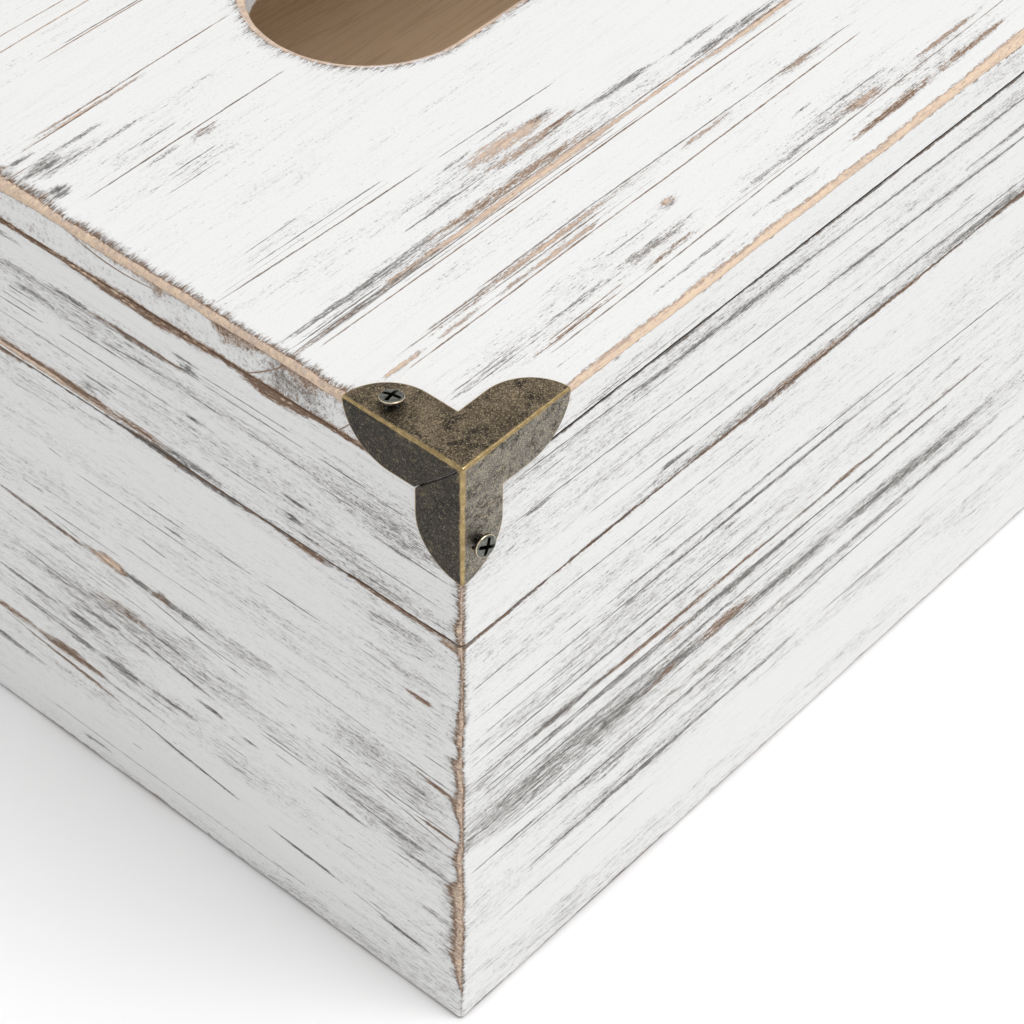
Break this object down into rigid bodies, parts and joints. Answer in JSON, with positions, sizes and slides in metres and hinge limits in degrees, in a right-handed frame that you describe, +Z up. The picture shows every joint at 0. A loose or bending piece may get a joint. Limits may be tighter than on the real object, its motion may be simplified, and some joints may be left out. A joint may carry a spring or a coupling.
{
  "type": "tissue box with drawer",
  "caption": "Wooden tissue box with a whitewashed, worn finish, a round-ended slot in its lapped top, metal corner brackets and a pull-out drawer for the tissue pack.",
  "frame": {"origin": "on the ground, at the centre of the case's footprint, on the underside of the bottom panel", "axes": "+Z up; +X out of the drawer, along the case's length; +Y across the case. The case is mirror-symmetric about the XZ plane."},
  "size_m": [0.2857, 0.1652, 0.1177],
  "materials": {
    "whitewashed_wood": "brushed matt white over brown wood, rubbed through along the grain and the edges",
    "bare_wood": "bare sawn softwood, untreated",
    "antique_brass": "darkened antique brass, rubbed bright along the folds",
    "antique_brass_screws": "darkened antique brass, worn bright on the rims",
    "steel_fasteners": "zinc plated"
  },
  "bodies": {
    "case": {"top_board": "whitewashed_wood", "left_upper_plank": "whitewashed_wood", "left_lower_plank": "whitewashed_wood", "right_upper_plank": "whitewashed_wood", "right_lower_plank": "whitewashed_wood", "back_upper_plank": "whitewashed_wood", "back_lower_plank": "whitewashed_wood", "front_rail": "whitewashed_wood", "bottom_panel": "bare_wood", "left_guide_strip": "bare_wood", "right_guide_strip": "bare_wood", "corner_bracket_back_left": "antique_brass", "corner_bracket_back_right": "antique_brass", "corner_bracket_front_left": "antique_brass", "corner_bracket_front_right": "antique_brass", "bracket_screws": "antique_brass_screws", "top_board_pins": "steel_fasteners", "corner_pins": "steel_fasteners", "bottom_panel_pins": "steel_fasteners"},
    "drawer": {"drawer_front": "whitewashed_wood", "drawer_left_side": "bare_wood", "drawer_right_side": "bare_wood", "drawer_back": "bare_wood", "drawer_bottom": "bare_wood", "drawer_pins": "steel_fasteners", "drawer_knob": "antique_brass", "knob_screw": "steel_fasteners"}
  },
  "joints": [
    {"name": "drawer_slide", "type": "slide", "parent": "case", "child": "drawer", "axis": [1, 0, 0], "range_m": [0, 0.2]}
  ]
}
